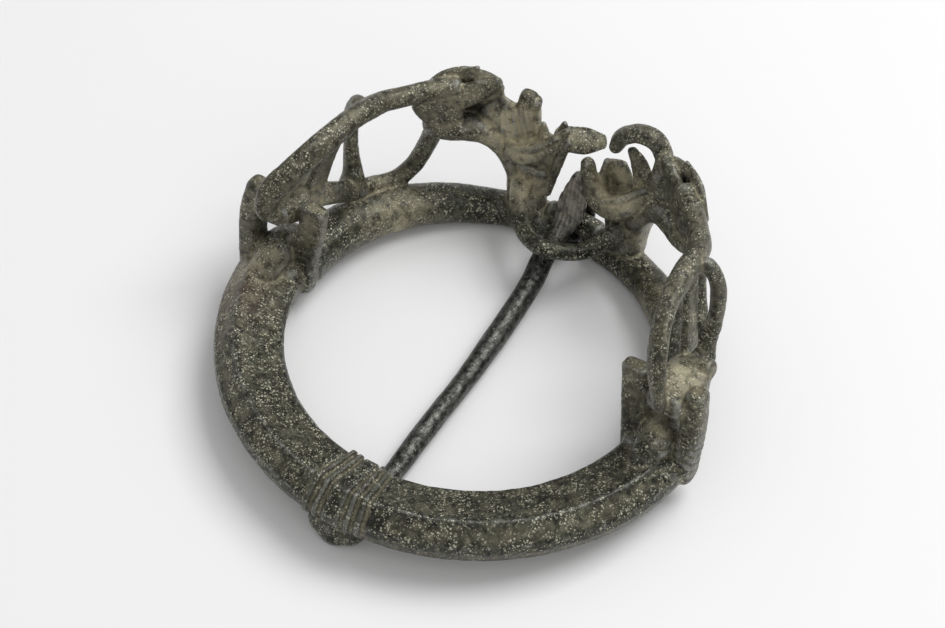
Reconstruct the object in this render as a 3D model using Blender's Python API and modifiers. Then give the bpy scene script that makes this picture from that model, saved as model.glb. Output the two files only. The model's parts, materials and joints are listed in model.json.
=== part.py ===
"""A cast bronze annular brooch with an openwork crest of two confronted beasts and a hinged pin.

The ring lies in its own plane: the ribbed collar is at -Y, the pin's hinge at +Y. Free forms are given
in millimetres as stations (x, y, z, half width, half height), on the right-hand side of the brooch,
and the left-hand side is their mirror image. The whole then tilts a little, because the brooch lies
on its rear bar and on the lug under its collar.
"""

import math

import bmesh
import bpy
from mathutils import Vector

MM = 0.001

# Ring
RING_OUTER_RADIUS = 40.3
RING_WIDTH = 11.0
RING_THICKNESS = 7.5
ARRIS_INSET = 3.2
INNER_EDGE_HEIGHT = 4.6
RING_END_ANGLE = -5.0
RING_STEPS = 50
COLLAR_STEPS = 60

# Rear bar
BAR_RADIUS = 31.8
BAR_HALF_WIDTH = 3.0
BAR_HALF_HEIGHT = 2.6
BAR_CENTRE_HEIGHT = 1.7
BAR_GROWS_FROM = 0.45
BAR_END_RISE = 2.2
BAR_END_EXTRA_WIDTH = 0.9
BAR_END_EXTRA_HEIGHT = 1.4
BAR_STEPS = 24
HINGE_NECK_RADIUS = 1.85
HINGE_NECK_HEIGHT = 3.4
HINGE_NECK_HALF_LENGTH = 3.7

# Collar
COLLAR_HALF_WIDTH = 4.6
COLLAR_RIM_WIDTH = 1.5
COLLAR_RIM_RISE = 0.85
COLLAR_BAND_RISE = 0.7

# Lug under the collar
LUG_HALF_LENGTH = 3.9
LUG_HALF_DEPTH = 3.2
LUG_DROP = 4.6
LUG_CENTRE = (-0.9, -36.8)
LUG_END_PLACE = 0.6
LUG_END_SIZE = 0.8

# Pin
PIN_HINGE_X = -0.3
PIN_TIP_Y = -31.2
PIN_RADIUS_AT_HEAD = 1.85
PIN_RADIUS_AT_COLLAR = 1.7
PIN_RADIUS_AT_TIP = 0.8
PIN_HEAD_HALF_WIDTH = 2.5
PIN_HEAD_THICKNESS = 1.2
PIN_HEAD_HEIGHT = 10.4
HINGE_CLEARANCE = 0.65

# Rounded ends of limbs
CAP_ANGLES = (75.0, 50.0, 25.0)

# Where it rests
REST_CUT = 0.3

# Surface resolution
LIMB_STEPS = 5
LIMB_SIDES = 12
BODY_VOXEL = 0.45
PIN_VOXEL = 0.34
BODY_KEEP = 0.049
PIN_KEEP = 0.07


def smooth_path(stations, steps):
    """Points on a smooth curve through the stations, with the half widths carried along."""
    rows = [Vector(row) for row in stations]
    rows = [rows[0] * 2 - rows[1]] + rows + [rows[-1] * 2 - rows[-2]]
    path = []
    for a, b, c, d in zip(rows, rows[1:], rows[2:], rows[3:]):
        for step in range(steps):
            t = step / steps
            path.append(0.5 * (2 * b + (c - a) * t + (2 * a - 5 * b + 4 * c - d) * t ** 2
                               + (3 * b - a - 3 * c + d) * t ** 3))
    path.append(rows[-2])
    return path


def section_ring(bm, centre, side, rise, half_width, half_height, squareness, sides):
    """One cross-section: an ellipse, or a rounded rectangle where squareness is below 1."""
    ring = []
    for k in range(sides):
        angle = math.tau * k / sides
        c = math.cos(angle)
        s = math.sin(angle)
        across = math.copysign(abs(c) ** squareness, c) * half_width
        up = math.copysign(abs(s) ** squareness, s) * half_height
        ring.append(bm.verts.new((centre + side * across + rise * up) * MM))
    return ring


def skin(bm, rings):
    """Close a row of cross-sections with side faces and two end faces."""
    for low, high in zip(rings, rings[1:]):
        for k in range(len(low)):
            n = (k + 1) % len(low)
            bm.faces.new((low[k], low[n], high[n], high[k]))
    bm.faces.new(reversed(rings[0]))
    bm.faces.new(rings[-1])


def limb(bm, stations, up=(0.0, 0.0, 1.0), squareness=1.0, roundness=1.0, steps=LIMB_STEPS,
         sides=LIMB_SIDES):
    """A cast limb through stations (x, y, z, half width, half height), with rounded or blunt ends."""
    rows = smooth_path(stations, steps)
    up = Vector(up)
    points = [Vector(row[:3]) for row in rows]
    frames = []
    for i, row in enumerate(rows):
        before = points[max(i - 1, 0)]
        after = points[min(i + 1, len(points) - 1)]
        along = (after - before).normalized()
        side = up.cross(along)
        side.normalize()
        rise = along.cross(side)
        frames.append((points[i], along, side, rise, row[3], row[4]))
    caps = []
    for angle in CAP_ANGLES:
        caps.append((math.sin(math.radians(angle)) * roundness,
                     1.0 - roundness * (1.0 - math.cos(math.radians(angle)))))
    rounded = []
    for end, ahead, order in ((frames[0], -1.0, caps), (frames[-1], 1.0, caps[::-1])):
        place, along, side, rise, width, height = end
        cap = [(place + along * ahead * reach * min(width, height), along, side, rise,
                width * shrink, height * shrink) for reach, shrink in order]
        if ahead < 0:
            rounded = cap + frames
        else:
            rounded = rounded + cap
    rings = [section_ring(bm, p, side, rise, w, h, squareness, sides)
             for p, along, side, rise, w, h in rounded]
    skin(bm, rings)


def mirrored(stations):
    """The same stations on the left-hand side."""
    return [(-row[0],) + tuple(row[1:]) for row in stations]


def both_sides(bm, stations, **options):
    """A limb on the right-hand side and its mirror image on the left."""
    limb(bm, stations, **options)
    up = options.pop("up", (0.0, 0.0, 1.0))
    limb(bm, mirrored(stations), up=(-up[0], up[1], up[2]), **options)


def collar_rise(arc):
    """How far the collar stands proud of the ring, at an arc length from its middle."""
    rim = COLLAR_HALF_WIDTH - abs(arc)
    if rim < 0.0:
        return 0.0
    if rim < 2 * COLLAR_RIM_WIDTH:
        rib = math.sin(math.pi * (rim % COLLAR_RIM_WIDTH) / COLLAR_RIM_WIDTH)
        return COLLAR_RIM_RISE * rib ** 0.6
    band = (rim - 2 * COLLAR_RIM_WIDTH) / (COLLAR_HALF_WIDTH - 2 * COLLAR_RIM_WIDTH)
    return COLLAR_BAND_RISE * min(1.0, 4 * band)


def front_ring(bm):
    """The heavy faceted half of the ring, with its collar."""
    inner = RING_OUTER_RADIUS - RING_WIDTH
    arris = RING_OUTER_RADIUS - ARRIS_INSET
    outline = [(inner, INNER_EDGE_HEIGHT), (inner + 0.6, INNER_EDGE_HEIGHT + 0.9),
               (arris - 0.25, RING_THICKNESS), (arris + 0.15, RING_THICKNESS),
               (RING_OUTER_RADIUS - 0.2, 4.8), (RING_OUTER_RADIUS, 3.4),
               (RING_OUTER_RADIUS - 0.9, 0.9), (RING_OUTER_RADIUS - 2.6, 0.0),
               (inner + 2.4, 0.0), (inner + 0.5, 1.8)]
    middle = Vector((inner + RING_WIDTH / 2, RING_THICKNESS / 2))
    end = math.radians(90.0 + RING_END_ANGLE)
    mid_radius = RING_OUTER_RADIUS - RING_WIDTH / 2
    collar_end = (COLLAR_HALF_WIDTH + 0.1) / mid_radius
    turns = [-end + (end - collar_end) * i / RING_STEPS for i in range(RING_STEPS)]
    turns += [-collar_end + 2 * collar_end * i / COLLAR_STEPS for i in range(COLLAR_STEPS + 1)]
    turns += [collar_end + (end - collar_end) * i / RING_STEPS for i in range(1, RING_STEPS + 1)]
    rings = []
    for turn in turns:
        angle = turn - math.pi / 2
        arc = turn * mid_radius
        rise = collar_rise(arc)
        ring = []
        for radius, height in outline:
            out = Vector((radius, height)) - middle
            lift = rise if height > 1.0 else 0.0
            place = middle + out * (1.0 + lift / out.length)
            ring.append(bm.verts.new(Vector((place.x * math.cos(angle), place.x * math.sin(angle),
                                             place.y)) * MM))
        rings.append(ring)
    skin(bm, rings)


def bar_station(across):
    """The rear bar's size at a distance across the brooch: it grows taller towards the ring's ends."""
    grow = max(0.0, abs(across) / BAR_RADIUS - BAR_GROWS_FROM) / (1.0 - BAR_GROWS_FROM)
    behind = math.sqrt(max(0.0, BAR_RADIUS ** 2 - across ** 2))
    return (across, behind, BAR_CENTRE_HEIGHT + BAR_END_RISE * grow,
            BAR_HALF_WIDTH + BAR_END_EXTRA_WIDTH * grow, BAR_HALF_HEIGHT + BAR_END_EXTRA_HEIGHT * grow)


def rear_bar(bm):
    """The thin bar that closes the ring behind, with the round neck that the pin turns on."""
    stations = []
    for i in range(BAR_STEPS + 1):
        across = BAR_RADIUS * math.cos(math.pi * i / BAR_STEPS)
        if abs(across - PIN_HINGE_X) > HINGE_NECK_HALF_LENGTH + 1.5:
            stations.append(bar_station(across))
    for place in (HINGE_NECK_HALF_LENGTH + 0.9, -HINGE_NECK_HALF_LENGTH - 0.9):
        stations.append(bar_station(PIN_HINGE_X + place))
    for place in (1.0, 0.33, -0.33, -1.0):
        stations.append((PIN_HINGE_X + place * HINGE_NECK_HALF_LENGTH, BAR_RADIUS, HINGE_NECK_HEIGHT,
                         HINGE_NECK_RADIUS, HINGE_NECK_RADIUS))
    stations.sort(reverse=True)
    limb(bm, stations, squareness=0.9, steps=2)


def lug(bm):
    """The smooth lug that the collar rests on."""
    x, y = LUG_CENTRE
    height = LUG_HALF_DEPTH - LUG_DROP
    reach = LUG_HALF_LENGTH * LUG_END_PLACE
    small = LUG_HALF_DEPTH * LUG_END_SIZE
    limb(bm, [(x - reach, y, height + 0.3, small, small), (x, y, height, LUG_HALF_DEPTH, LUG_HALF_DEPTH),
              (x + reach, y, height + 0.3, small, small)], squareness=0.6)


def terminals(bm):
    """The forked ends of the heavy half ring, two prongs on each side, and the boss between them."""
    across = (1.0, 0.0, 0.0)
    both_sides(bm, [(30.4, -2.7, 2.0, 1.5, 2.2), (29.7, -2.3, 8.0, 1.4, 2.1), (28.9, -1.8, 14.0, 1.3, 2.1),
                    (28.4, -1.5, 18.8, 1.3, 2.1)], up=across, squareness=0.45, roundness=0.35)
    both_sides(bm, [(39.0, -3.2, 2.5, 2.3, 1.7), (39.2, -3.0, 9.0, 2.2, 1.8), (39.2, -2.5, 14.0, 2.1, 1.8),
                    (38.8, -1.7, 18.9, 1.8, 1.6)], up=across, squareness=0.55, roundness=0.5)
    both_sides(bm, [(34.5, -8.5, 5.5, 2.4, 2.0), (34.2, -3.6, 8.4, 3.0, 2.8), (34.0, 0.0, 7.4, 3.2, 2.8)])
    both_sides(bm, [(33.5, -4.0, 4.0, 4.6, 3.4), (32.8, 3.5, 3.8, 3.4, 3.2)], squareness=0.8)


def foot_blocks(bm):
    """The block that each long limb stands on, and the knob on its end, held between the prongs."""
    both_sides(bm, [(34.8, -3.9, 16.6, 3.0, 1.8), (35.0, -0.8, 16.0, 3.8, 2.4), (34.8, 3.0, 15.6, 3.6, 2.7),
                    (33.4, 5.8, 14.2, 2.6, 2.2)], squareness=0.5, roundness=0.5)
    both_sides(bm, [(32.8, 5.0, 13.6, 2.2, 2.0), (35.4, 4.6, 14.2, 2.2, 2.2)], up=(0.0, 0.5, 1.0))
    both_sides(bm, [(36.4, 4.6, 17.4, 1.7, 1.7), (37.4, 4.6, 17.6, 1.7, 1.7)], roundness=0.5)


def limbs(bm):
    """The long limbs of the openwork: a strap from the foot block, then a round bar to the shoulder."""
    both_sides(bm, [(34.5, -5.4, 18.0, 1.6, 1.1), (34.3, -6.0, 20.8, 2.0, 1.15), (33.5, -5.4, 23.8, 2.2, 1.2),
                    (31.8, -2.3, 26.5, 2.2, 1.3), (30.3, 2.2, 28.4, 2.1, 1.4), (29.2, 8.4, 29.0, 1.9, 1.6)],
               up=(0.73, 0.53, -0.44))
    both_sides(bm, [(29.6, 6.0, 28.9, 1.8, 1.7), (29.0, 10.6, 28.8, 1.8, 1.8), (28.6, 14.0, 28.0, 1.8, 1.8),
                    (28.0, 17.3, 27.1, 1.7, 1.7), (26.3, 20.0, 26.8, 1.7, 1.6),
                    (23.4, 23.6, 26.9, 1.7, 1.6), (20.6, 26.2, 27.3, 1.5, 1.3)])
    limb(bm, [(29.6, 11.6, 27.4, 1.5, 0.8), (30.6, 10.4, 22.0, 1.9, 0.8), (32.0, 8.6, 15.5, 2.3, 0.9)],
         up=(1.0, 0.0, 0.0), squareness=0.7)
    limb(bm, [(-29.8, 6.6, 27.4, 2.0, 0.8), (-31.6, 5.4, 21.0, 3.0, 0.8), (-33.0, 4.8, 15.0, 3.2, 0.9)],
         up=(1.0, 0.0, 0.0), squareness=0.7)
    both_sides(bm, [(29.6, 13.2, 28.0, 1.3, 1.2), (31.1, 14.3, 27.6, 1.3, 1.2), (32.7, 15.2, 23.0, 1.3, 1.2),
                    (32.8, 15.4, 15.5, 1.3, 1.2), (32.0, 14.7, 11.0, 1.9, 1.6), (31.6, 14.2, 8.6, 2.8, 1.8)],
               up=(0.0, 1.0, 0.0))
    both_sides(bm, [(32.2, 5.6, 14.0, 1.8, 2.0), (31.6, 8.4, 12.3, 1.6, 1.9), (31.6, 11.0, 10.2, 1.6, 1.8),
                    (31.2, 14.2, 8.2, 1.6, 1.6), (29.8, 18.2, 6.7, 1.5, 1.5), (27.8, 21.4, 6.6, 1.5, 1.5),
                    (26.1, 23.6, 8.8, 1.5, 1.5), (24.8, 25.0, 12.6, 1.5, 1.5), (23.6, 25.6, 16.8, 1.6, 1.6)])


def hoods(bm):
    """The hollow pointed shoulders: a near and a far side plate over a curved lower band."""
    both_sides(bm, [(24.0, 23.4, 20.8, 0.9, 3.6), (22.2, 24.6, 22.6, 0.9, 4.2), (20.4, 25.9, 24.8, 0.9, 2.9),
                    (18.0, 27.7, 26.0, 0.9, 2.2), (16.5, 28.8, 27.0, 0.9, 1.9), (15.0, 29.9, 28.0, 0.8, 1.1)],
               squareness=0.75)
    both_sides(bm, [(23.7, 26.0, 22.8, 0.8, 3.8), (21.7, 27.8, 25.0, 0.8, 4.4), (19.3, 29.4, 24.3, 0.8, 5.5),
                    (17.2, 30.1, 24.6, 0.8, 4.6), (16.0, 30.4, 25.6, 0.8, 2.8), (15.2, 30.5, 26.6, 0.8, 1.2)],
               squareness=0.8)
    both_sides(bm, [(19.6, 29.2, 27.9, 0.9, 1.0), (17.3, 30.0, 28.0, 0.9, 1.0), (15.2, 30.1, 27.6, 0.9, 1.0)])
    limb(bm, [(22.4, 26.0, 20.6, 1.5, 3.0), (19.8, 27.8, 22.6, 1.7, 3.4), (17.4, 29.2, 23.6, 1.5, 2.8)])
    both_sides(bm, [(23.6, 24.6, 18.6, 2.3, 1.6), (21.4, 26.0, 18.1, 2.5, 1.9), (18.8, 27.6, 18.3, 2.5, 2.2),
                    (16.0, 29.1, 17.7, 2.5, 2.2), (13.4, 30.3, 15.1, 2.6, 1.9), (11.2, 31.2, 10.4, 2.8, 1.9),
                    (10.1, 31.4, 4.0, 2.9, 2.2)], squareness=0.9)
    limb(bm, [(-15.6, 29.8, 22.8, 1.1, 3.4), (-13.6, 30.2, 21.0, 1.8, 3.8), (-11.2, 30.9, 18.4, 2.1, 3.2)])
    limb(bm, [(15.8, 29.8, 22.4, 1.2, 3.2), (14.2, 30.2, 19.8, 1.7, 3.2), (12.2, 30.8, 16.0, 2.0, 2.2)])


def necks(bm):
    """The flat necks that rise from the rear bar, and the guard loop between them over the pin."""
    both_sides(bm, [(9.0, 31.2, 2.6, 3.2, 2.6), (8.9, 31.2, 8.0, 3.4, 2.2), (8.6, 30.9, 12.8, 4.0, 1.9)],
               up=(0.0, 1.0, 0.0), squareness=0.9, roundness=0.5)
    limb(bm, [(-8.6, 31.3, 12.0, 3.9, 1.2), (-7.8, 31.5, 16.0, 4.2, 1.0), (-6.8, 31.6, 19.6, 3.6, 0.8)],
         up=(0.0, 1.0, 0.0), squareness=0.8)
    right = [(9.4, 30.2, 9.4, 1.9, 1.9), (8.3, 27.1, 8.8, 1.7, 1.7), (6.6, 24.1, 7.9, 1.5, 1.5),
             (4.8, 22.1, 7.8, 1.4, 1.4), (2.3, 20.3, 8.3, 1.4, 1.4)]
    limb(bm, right + [(0.0, 19.4, 8.8, 1.4, 1.4)] + mirrored(right)[::-1])


def muzzles(bm):
    """The lower jaws, boat-shaped with a thin rim, which curl inwards and up to a blunt tip."""
    limb(bm, [(-13.1, 30.0, 15.2, 1.5, 1.4), (-9.1, 28.4, 17.0, 1.9, 1.5), (-5.9, 28.1, 19.6, 1.7, 1.4),
              (-3.4, 28.6, 22.4, 1.2, 1.0), (-2.0, 29.3, 24.8, 0.7, 0.7)], squareness=0.6)
    limb(bm, [(-12.8, 29.2, 16.9, 0.6, 0.6), (-9.1, 26.9, 18.9, 0.6, 0.6), (-5.7, 26.7, 21.3, 0.6, 0.6),
              (-3.0, 27.9, 23.8, 0.5, 0.5)])
    limb(bm, [(13.4, 30.0, 19.2, 1.6, 1.6), (10.8, 28.8, 16.9, 1.8, 1.8), (7.7, 28.2, 14.5, 1.8, 2.1),
              (4.9, 28.3, 15.0, 1.6, 2.0), (3.1, 28.7, 17.8, 1.3, 1.4), (2.3, 29.1, 20.4, 1.1, 1.1)],
         squareness=0.75)
    limb(bm, [(12.8, 28.9, 20.6, 0.6, 0.6), (9.7, 27.2, 18.2, 0.6, 0.6), (6.7, 26.9, 16.5, 0.6, 0.6)])


def left_head(bm):
    """The left head: the fluted stub of its horn, two low points, and the leaf behind it."""
    limb(bm, [(-10.6, 30.4, 15.6, 3.4, 1.4), (-10.2, 30.9, 19.6, 2.8, 1.5), (-9.9, 31.0, 24.0, 2.1, 1.4),
              (-9.9, 31.0, 27.2, 1.4, 1.0)], up=(0.0, 1.0, 0.0), squareness=0.7, roundness=0.7)
    limb(bm, [(-9.4, 31.0, 23.0, 1.4, 1.2), (-8.5, 31.0, 26.7, 0.9, 1.0)], up=(0.0, 1.0, 0.0), roundness=0.6)
    limb(bm, [(-6.2, 30.2, 18.4, 1.8, 0.8), (-6.4, 30.3, 21.0, 1.2, 0.7), (-6.7, 30.5, 23.0, 0.5, 0.5)],
         up=(0.0, 1.0, 0.0))
    limb(bm, [(-3.9, 31.6, 20.4, 1.2, 0.9), (-3.6, 31.3, 22.6, 1.0, 0.7), (-3.3, 31.0, 24.6, 0.5, 0.5)],
         up=(0.0, 1.0, 0.0))
    limb(bm, [(-4.6, 31.8, 20.4, 1.8, 0.9), (-2.5, 32.5, 20.2, 2.2, 0.8), (-0.5, 34.0, 19.8, 2.2, 0.8),
              (1.3, 36.0, 19.0, 1.3, 0.6)], up=(0.0, -0.6, 0.8))
    limb(bm, [(-2.8, 31.2, 20.6, 1.0, 0.7), (-4.2, 30.9, 14.0, 0.9, 0.7), (-5.6, 30.6, 8.4, 1.1, 0.8)],
         up=(0.0, 1.0, 0.0))


def right_head(bm):
    """The right head: its whole horn, the scooped ear plate and the petal inside the horn."""
    limb(bm, [(13.8, 30.2, 19.8, 1.9, 1.7), (14.4, 30.6, 24.1, 1.6, 1.7), (14.2, 31.0, 27.2, 1.4, 1.7),
              (12.5, 31.0, 29.6, 1.4, 1.8), (9.7, 31.0, 29.6, 1.4, 1.8), (7.0, 31.0, 27.4, 1.4, 1.6),
              (5.9, 31.0, 24.6, 1.1, 1.1)], up=(0.0, 1.0, 0.0))
    limb(bm, [(7.4, 31.0, 14.6, 2.6, 0.8), (7.0, 31.4, 18.0, 2.4, 0.6), (6.1, 31.6, 20.8, 1.8, 0.6)],
         up=(0.0, 1.0, 0.0), squareness=0.6, roundness=0.5)
    limb(bm, [(5.2, 30.0, 15.6, 0.7, 0.9), (4.6, 30.4, 18.4, 0.6, 0.9), (4.7, 31.0, 20.6, 0.6, 0.7)],
         up=(0.0, 1.0, 0.0))
    limb(bm, [(11.6, 30.8, 18.6, 1.9, 0.9), (11.2, 30.9, 20.8, 1.9, 0.7), (10.0, 31.2, 23.2, 1.7, 0.7),
              (8.5, 31.5, 25.0, 1.0, 0.5)], up=(0.0, 1.0, 0.0))


def pin_shaft(bm):
    """The pin's gently bent shaft, which runs from its head down to its point below the ring."""
    rear = PIN_RADIUS_AT_HEAD
    front = PIN_RADIUS_AT_COLLAR
    limb(bm, [(-0.8, 25.8, 4.0, rear * 0.95, rear * 0.8), (-0.4, 21.6, 3.6, rear, rear),
              (0.1, 17.4, 2.1, rear, rear), (0.4, 10.3, 0.8, rear, rear), (0.7, 3.0, 0.2, rear, rear),
              (0.9, -4.0, -0.3, front, front), (0.9, -11.7, -0.5, front, front),
              (0.9, -17.2, -0.9, front, front), (0.8, -22.4, -1.7, front * 0.96, front * 0.96),
              (0.7, -27.0, -2.1, front * 0.85, front * 0.85),
              (0.6, PIN_TIP_Y, -2.2, PIN_RADIUS_AT_TIP, PIN_RADIUS_AT_TIP)])


def pin_head(bm):
    """The pin's leaf-shaped head, a strip folded right round the neck of the rear bar."""
    half = PIN_HEAD_THICKNESS / 2
    reach = HINGE_NECK_RADIUS + HINGE_CLEARANCE + half
    wide = PIN_HEAD_HALF_WIDTH
    x = PIN_HINGE_X
    y = BAR_RADIUS
    z = HINGE_NECK_HEIGHT
    top = z + PIN_HEAD_HEIGHT
    limb(bm, [(-0.7, 24.8, 3.9, 1.0, 1.4), (x - 0.2, 27.1, 5.0, 0.9, wide * 0.7),
              (x + 0.2, y - 2.8, z + 4.0, half, wide * 0.95), (x + 0.4, y - 2.1, z + 6.6, half, wide),
              (x + 0.5, y - 1.0, top, half, wide * 0.6), (x + 0.5, y + 0.9, top - 0.5, half, wide * 0.6),
              (x, y + reach, z + 5.6, half, wide * 0.8), (x, y + reach, z + 1.0, half, wide * 0.8)],
         up=(1.0, 0.0, 0.0), squareness=0.8)
    wrap = [(x, y + reach * math.cos(math.radians(turn)), z + reach * math.sin(math.radians(turn)),
             half, wide * 0.8) for turn in range(20, -141, -20)]
    limb(bm, wrap + [(x - 0.1, 27.6, 2.6, 0.8, wide * 0.6), (x - 0.3, 25.4, 3.6, 0.9, 1.3)],
         up=(1.0, 0.0, 0.0), squareness=0.8)


def rest_tilt():
    """The angle between the ring's plane and the surface that it lies on."""
    bar_drop = BAR_HALF_HEIGHT - BAR_CENTRE_HEIGHT
    return math.atan2(LUG_DROP - bar_drop, BAR_RADIUS - LUG_CENTRE[1])


def rest_lift():
    """The height of the ring's plane above the surface, along the middle of the ring."""
    bar_drop = BAR_HALF_HEIGHT - BAR_CENTRE_HEIGHT
    return BAR_RADIUS * math.sin(rest_tilt()) + bar_drop * math.cos(rest_tilt()) - REST_CUT


def bronze(name, colour, roughness):
    material = bpy.data.materials.new(name)
    material.use_nodes = True
    shader = material.node_tree.nodes["Principled BSDF"]
    shader.inputs["Base Color"].default_value = (*colour, 1.0)
    shader.inputs["Metallic"].default_value = 0.7
    shader.inputs["Roughness"].default_value = roughness
    return material


def cast(name, shapes, collection, parent, voxel, keep, material):
    """One casting: its shapes grown together into a single closed skin."""
    bm = bmesh.new()
    for shape in shapes:
        shape(bm)
    bmesh.ops.recalc_face_normals(bm, faces=bm.faces)
    mesh = bpy.data.meshes.new(name)
    bm.to_mesh(mesh)
    bm.free()
    mesh.materials.append(material)
    piece = bpy.data.objects.new(name, mesh)
    piece.parent = parent
    collection.objects.link(piece)
    grow = piece.modifiers.new("grow together", "REMESH")
    grow.mode = "VOXEL"
    grow.voxel_size = voxel * MM
    grow.use_smooth_shade = True
    soften = piece.modifiers.new("soften", "SMOOTH")
    soften.factor = 0.5
    soften.iterations = 2
    thin = piece.modifiers.new("fewer faces", "DECIMATE")
    thin.ratio = keep
    thin.use_collapse_triangulate = True
    return piece


def centre_over_origin(pose, pieces):
    """Shift the brooch sideways so that the middle of its outline stands over the origin."""
    view = bpy.context.evaluated_depsgraph_get()
    corners = []
    for piece in pieces:
        seen = piece.evaluated_get(view)
        corners += [seen.matrix_world @ vertex.co for vertex in seen.data.vertices]
    for axis in (0, 1):
        low = min(corner[axis] for corner in corners)
        high = max(corner[axis] for corner in corners)
        pose.location[axis] -= (low + high) / 2


def main():
    for old in list(bpy.data.objects):
        bpy.data.objects.remove(old, do_unlink=True)
    scene = bpy.context.scene
    brooch = bpy.data.collections.new("brooch")
    cutters = bpy.data.collections.new("cutters")
    scene.collection.children.link(brooch)
    scene.collection.children.link(cutters)

    pose = bpy.data.objects.new("pose", None)
    pose.rotation_euler = (-rest_tilt(), 0.0, 0.0)
    pose.location = (0.0, 0.0, rest_lift() * MM)
    brooch.objects.link(pose)

    patina = bronze("dark green bronze", (0.055, 0.055, 0.04), 0.5)
    worn = bronze("worn grey bronze", (0.07, 0.07, 0.065), 0.38)
    body = cast("brooch_body",
                (front_ring, rear_bar, lug, terminals, foot_blocks, limbs, hoods, necks, muzzles,
                 left_head, right_head),
                brooch, pose, BODY_VOXEL, BODY_KEEP, patina)
    pin = cast("pin", (pin_shaft, pin_head), brooch, pose, PIN_VOXEL, PIN_KEEP, worn)

    span = 3 * RING_OUTER_RADIUS * MM
    bpy.ops.mesh.primitive_cube_add(size=span, location=(0.0, 0.0, -span / 2))
    surface = bpy.context.object
    surface.name = "surface_below"
    surface.display_type = "WIRE"
    surface.hide_render = True
    for home in list(surface.users_collection):
        home.objects.unlink(surface)
    cutters.objects.link(surface)
    flat = body.modifiers.new("flat spots below", "BOOLEAN")
    flat.operation = "DIFFERENCE"
    flat.object = surface
    centre_over_origin(pose, (body, pin))


main()
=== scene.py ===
"""The looks of the cast bronze brooch: fine surface, patina, pale floor, lights and camera.

The free forms repeat the brooch's construction at a finer resolution, in millimetres, in the ring's own
plane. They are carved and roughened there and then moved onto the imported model.
"""

import json
import math

import bmesh
import bpy
import numpy as np
from mathutils import Matrix, Vector

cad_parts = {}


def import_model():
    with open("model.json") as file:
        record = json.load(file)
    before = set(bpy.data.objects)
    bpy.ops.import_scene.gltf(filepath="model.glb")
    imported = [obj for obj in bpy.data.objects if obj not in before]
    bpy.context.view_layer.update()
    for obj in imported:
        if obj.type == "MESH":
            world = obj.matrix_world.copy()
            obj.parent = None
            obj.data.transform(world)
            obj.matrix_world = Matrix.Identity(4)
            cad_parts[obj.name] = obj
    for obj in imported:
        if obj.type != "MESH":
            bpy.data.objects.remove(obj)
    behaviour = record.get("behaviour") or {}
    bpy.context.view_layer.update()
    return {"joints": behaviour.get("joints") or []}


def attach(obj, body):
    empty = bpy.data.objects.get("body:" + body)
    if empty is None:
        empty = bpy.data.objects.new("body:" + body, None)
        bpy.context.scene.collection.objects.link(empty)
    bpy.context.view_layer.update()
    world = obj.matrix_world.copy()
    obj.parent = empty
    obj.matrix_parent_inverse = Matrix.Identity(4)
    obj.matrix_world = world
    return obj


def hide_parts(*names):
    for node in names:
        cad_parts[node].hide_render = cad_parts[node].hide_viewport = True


MM = 0.001

# Ring
RING_OUTER_RADIUS = 40.3
RING_WIDTH = 11.0
RING_THICKNESS = 7.5
ARRIS_INSET = 3.2
INNER_EDGE_HEIGHT = 4.6
RING_END_ANGLE = -5.0
RING_STEPS = 50
COLLAR_STEPS = 60

# Rear bar
BAR_RADIUS = 31.8
BAR_HALF_WIDTH = 3.0
BAR_HALF_HEIGHT = 2.6
BAR_CENTRE_HEIGHT = 1.7
BAR_GROWS_FROM = 0.45
BAR_END_RISE = 2.2
BAR_END_EXTRA_WIDTH = 0.9
BAR_END_EXTRA_HEIGHT = 1.4
BAR_STEPS = 24
HINGE_NECK_RADIUS = 1.85
HINGE_NECK_HEIGHT = 3.4
HINGE_NECK_HALF_LENGTH = 3.7

# Collar
COLLAR_HALF_WIDTH = 4.6
COLLAR_RIM_WIDTH = 1.5
COLLAR_RIM_RISE = 0.85
COLLAR_BAND_RISE = 0.7

# Lug under the collar
LUG_HALF_LENGTH = 3.9
LUG_HALF_DEPTH = 3.2
LUG_DROP = 4.6
LUG_CENTRE = (-0.9, -36.8)
LUG_END_PLACE = 0.6
LUG_END_SIZE = 0.8

# Pin
PIN_HINGE_X = -0.3
PIN_TIP_Y = -31.2
PIN_RADIUS_AT_HEAD = 1.85
PIN_RADIUS_AT_COLLAR = 1.7
PIN_RADIUS_AT_TIP = 0.8
PIN_HEAD_HALF_WIDTH = 2.5
PIN_HEAD_THICKNESS = 1.2
PIN_HEAD_HEIGHT = 10.4
HINGE_CLEARANCE = 0.65

# Rounded ends of limbs
CAP_ANGLES = (75.0, 50.0, 25.0)

# Surface resolution
LIMB_STEPS = 9
LIMB_SIDES = 28
BODY_VOXEL = 0.24
PIN_VOXEL = 0.2
BODY_TRIANGLES = 190000
PIN_TRIANGLES = 40000
SOFTEN_ROUNDS = 2

# Carving
SEED = 7
PITS = 260
COLLAR_GROOVE_DEPTH = 0.32
COLLAR_GROOVE_WIDTH = 0.28
FLUTE_DEPTH = 0.45
FLUTE_SPACING = 1.05
FLUTE_LEAN = 0.25
KNUCKLE_DEPTH = 0.3
KNUCKLE_SPACING = 1.7
KNUCKLE_LEAN = 0.4
PIN_LINE_DEPTH = 0.2
PIN_LINE_SPACING = 0.75
PIN_LINE_LEAN = 0.05

# Dirt and wear
BEND_ROUNDS = 10
BROAD_BEND_ROUNDS = 60
FULL_DIRT_BEND = 0.07
FULL_WEAR_BEND = 0.09
WEAR_START = 0.3
COLLAR_WEAR_SHARE = 0.35

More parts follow.
